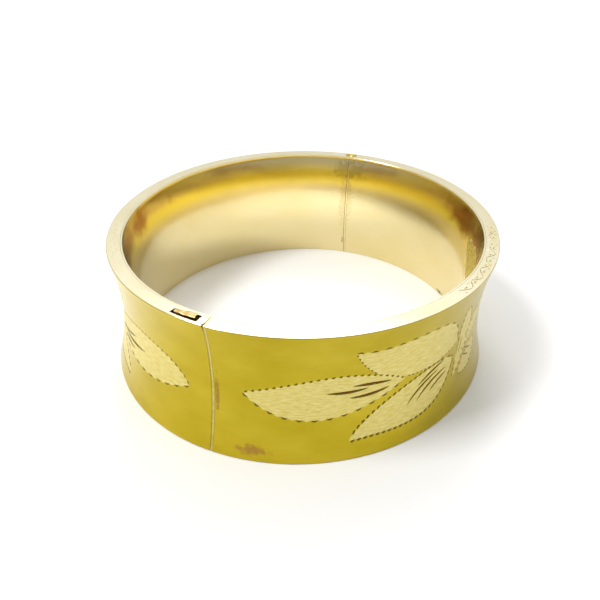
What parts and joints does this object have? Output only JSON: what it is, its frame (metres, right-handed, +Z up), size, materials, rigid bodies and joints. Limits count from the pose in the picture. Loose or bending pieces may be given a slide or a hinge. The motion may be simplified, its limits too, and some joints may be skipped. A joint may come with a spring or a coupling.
{
  "type": "hinged bangle bracelet",
  "caption": "Wide hollow oval bangle with flared flat rims and engraved leaf sprays, hinged at the back, with a spring tongue clasp opened by a thumb knob in the rim.",
  "frame": {"origin": "middle of the bangle on the surface it stands on, bottom rim down", "axes": "+Z up along the height, +Y from the clasp to the hinge along the oval's long axis, +X from the back half to the front half"},
  "size_m": [0.0612, 0.067, 0.0214],
  "materials": {
    "shell_gold": "polished",
    "liner_gold": "polished",
    "plate_gold": "satin",
    "hinge_gold": "satin",
    "clasp_gold": "satin"
  },
  "bodies": {
    "back_half": {"back_outer_shell": "shell_gold", "back_inner_liner": "liner_gold", "back_clasp_plate": "plate_gold", "back_hinge_plate": "plate_gold", "tongue_guide": "plate_gold", "hinge_knuckle_1": "hinge_gold", "hinge_knuckle_3": "hinge_gold", "hinge_knuckle_5": "hinge_gold", "hinge_pin": "hinge_gold"},
    "front_half": {"front_outer_shell": "shell_gold", "front_inner_liner": "liner_gold", "front_clasp_plate": "plate_gold", "front_hinge_plate": "plate_gold", "hinge_knuckle_2": "hinge_gold", "hinge_knuckle_4": "hinge_gold", "tongue": "clasp_gold"},
    "latch": {"latch_leaf": "clasp_gold", "thumb_knob": "clasp_gold"}
  },
  "joints": [
    {"name": "half_swing", "type": "hinge", "parent": "back_half", "child": "front_half", "pos_m": [-0.0018, 0.03236, 0.0105], "axis": [0, 0, 1], "range_deg": [0, 60]},
    {"name": "latch_press", "type": "hinge", "parent": "front_half", "child": "latch", "pos_m": [-0.0086, -0.0312, 0.0183], "axis": [0, 1, 0], "range_deg": [0, 12], "stiffness_Nm_per_rad": 0.08}
  ]
}
